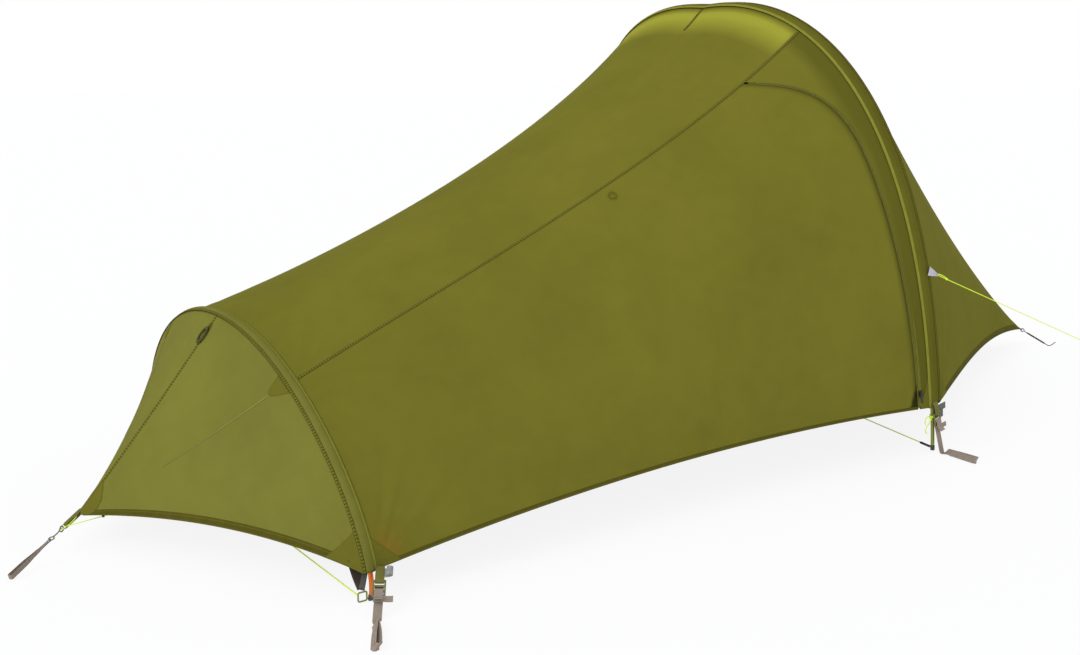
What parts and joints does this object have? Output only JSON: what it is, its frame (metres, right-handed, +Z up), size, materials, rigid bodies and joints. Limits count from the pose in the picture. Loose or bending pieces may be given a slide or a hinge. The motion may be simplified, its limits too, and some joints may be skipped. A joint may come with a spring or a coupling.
{
  "type": "tent",
  "caption": "Ultralight tunnel tent: olive fly on a tall head arch and a low foot arch, zipped side door, inner tent with tub floor, webbing peg corners and guyline.",
  "frame": {"origin": "on the ground, on the underside of the floor, near its middle", "axes": "+X from the low foot end to the head end, +Y from the door side to the far side, +Z up"},
  "size_m": [3.1085, 1.4028, 1.0128],
  "materials": {
    "fly_cloth": "coated ripstop cloth, satin",
    "sleeve_cloth": "doubled cloth",
    "inner_cloth": "thin cloth",
    "floor_cloth": "coated groundsheet",
    "webbing_olive": "woven webbing",
    "webbing_brown": "woven webbing",
    "tab_white": "woven tape",
    "cord_lime": "braided cord",
    "cord_black": "elastic cord",
    "buckle_plastic": "moulded",
    "zip_coil": "nylon coil",
    "pole_green": "anodised",
    "pole_orange": "anodised",
    "steel": "drawn wire"
  },
  "bodies": {
    "tent": {"far_base_ring": "cord_lime", "far_foot_corner_strap": "webbing_olive", "far_guy_tab": "tab_white", "far_head_cord": "cord_lime", "far_head_corner_strap": "webbing_olive", "floor_tub": "floor_cloth", "fly_door_surround": "fly_cloth", "fly_far_wall_panel": "fly_cloth", "fly_near_wall_panel": "fly_cloth", "fly_nose_panel_far": "fly_cloth", "fly_nose_panel_near": "fly_cloth", "fly_roof_panel": "fly_cloth", "fly_tail_panel_far": "fly_cloth", "fly_tail_panel_near": "fly_cloth", "foot_arch_sleeve": "sleeve_cloth", "foot_base_cord": "cord_lime", "foot_pole_section_1": "pole_orange", "foot_pole_section_2": "pole_orange", "foot_pole_section_3": "pole_orange", "foot_pole_shock_cord": "cord_black", "inner_canopy": "inner_cloth", "inner_foot_wall": "inner_cloth", "inner_head_wall": "inner_cloth", "inner_near_wall": "inner_cloth", "main_arch_sleeve": "sleeve_cloth", "main_pole_section_1": "pole_green", "main_pole_section_2": "pole_green", "main_pole_section_3": "pole_green", "main_pole_section_4": "pole_green", "main_pole_section_5": "pole_green", "main_pole_shock_cord": "cord_black", "near_base_ring": "cord_lime", "near_foot_corner_strap": "webbing_olive", "near_guy_tab": "tab_white", "near_guyline": "cord_lime", "near_head_cord": "cord_lime", "near_head_corner_strap": "webbing_olive", "nose_ring": "steel", "nose_strap": "webbing_olive", "tail_ring": "steel", "tie_back_ring": "cord_lime", "vent_loop": "cord_black", "zip_coil_fixed": "zip_coil"},
    "door": {"fly_door_panel": "fly_cloth", "zip_coil_door": "zip_coil"},
    "zip_runner": {"zip_slider": "steel"},
    "zip_pull": {"zip_puller": "steel"},
    "inner_door_leaf": {"inner_door": "inner_cloth"},
    "nose_anchor": {"nose_hook": "steel", "nose_peg_loop": "webbing_brown"},
    "tail_anchor": {"tail_hook": "steel"},
    "guy_runner": {"guy_slider": "buckle_plastic"},
    "near_foot_anchor": {"near_foot_buckle": "buckle_plastic", "near_foot_peg_strap": "webbing_brown"},
    "near_head_anchor": {"near_head_buckle": "buckle_plastic", "near_head_peg_strap": "webbing_brown"},
    "far_foot_anchor": {"far_foot_buckle": "buckle_plastic", "far_foot_peg_strap": "webbing_brown"},
    "far_head_anchor": {"far_head_buckle": "buckle_plastic", "far_head_peg_strap": "webbing_brown"}
  },
  "joints": [
    {"name": "door_swing", "type": "hinge", "parent": "tent", "child": "door", "pos_m": [-0.01806, -0.28302, 0.82766], "axis": [-0.5199, -0.2837, -0.8058], "range_deg": [0, 120]},
    {"name": "zip_slide", "type": "slide", "parent": "tent", "child": "zip_runner", "axis": [-0.2463, -0.0121, 0.9691], "range_m": [0, 0.16]},
    {"name": "puller_flip", "type": "hinge", "parent": "zip_runner", "child": "zip_pull", "pos_m": [0.28191, -0.56667, 0.15227], "axis": [-0.9137, 0.3363, -0.228], "range_deg": [0, 100]},
    {"name": "inner_door_swing", "type": "hinge", "parent": "tent", "child": "inner_door_leaf", "pos_m": [0.06659, -0.21187, 0.73192], "axis": [0.3309, -0.0119, -0.9436], "range_deg": [0, 85]},
    {"name": "nose_anchor_swing", "type": "hinge", "parent": "tent", "child": "nose_anchor", "pos_m": [-1.43815, -0.02526, 0.04493], "axis": [-0.5727, 0.8198, 0], "range_deg": [0, 60]},
    {"name": "tail_hook_swing", "type": "hinge", "parent": "tent", "child": "tail_anchor", "pos_m": [1.48511, -0.00813, 0.04473], "axis": [-0.8418, -0.5399, 0], "range_deg": [0, 70]},
    {"name": "guy_slider_slide", "type": "slide", "parent": "tent", "child": "guy_runner", "axis": [0.9267, -0.0656, -0.37], "range_m": [-0.25, 0.05]},
    {"name": "near_foot_anchor_swing", "type": "hinge", "parent": "tent", "child": "near_foot_anchor", "pos_m": [-1.08303, -0.5597, 0.04584], "axis": [-0.856, 0.5156, 0.0381], "range_deg": [0, 40]},
    {"name": "near_head_anchor_swing", "type": "hinge", "parent": "tent", "child": "near_head_anchor", "pos_m": [0.33961, -0.5676, 0.09659], "axis": [-0.9715, -0.0109, -0.2367], "range_deg": [0, 40]},
    {"name": "far_foot_anchor_swing", "type": "hinge", "parent": "tent", "child": "far_foot_anchor", "pos_m": [-1.07328, 0.56066, 0.04596], "axis": [0.9387, -0.3394, 0.0595], "range_deg": [0, 40]},
    {"name": "far_head_anchor_swing", "type": "hinge", "parent": "tent", "child": "far_head_anchor", "pos_m": [0.33961, 0.5676, 0.09659], "axis": [0.9715, -0.0109, 0.2367], "range_deg": [0, 40]}
  ]
}
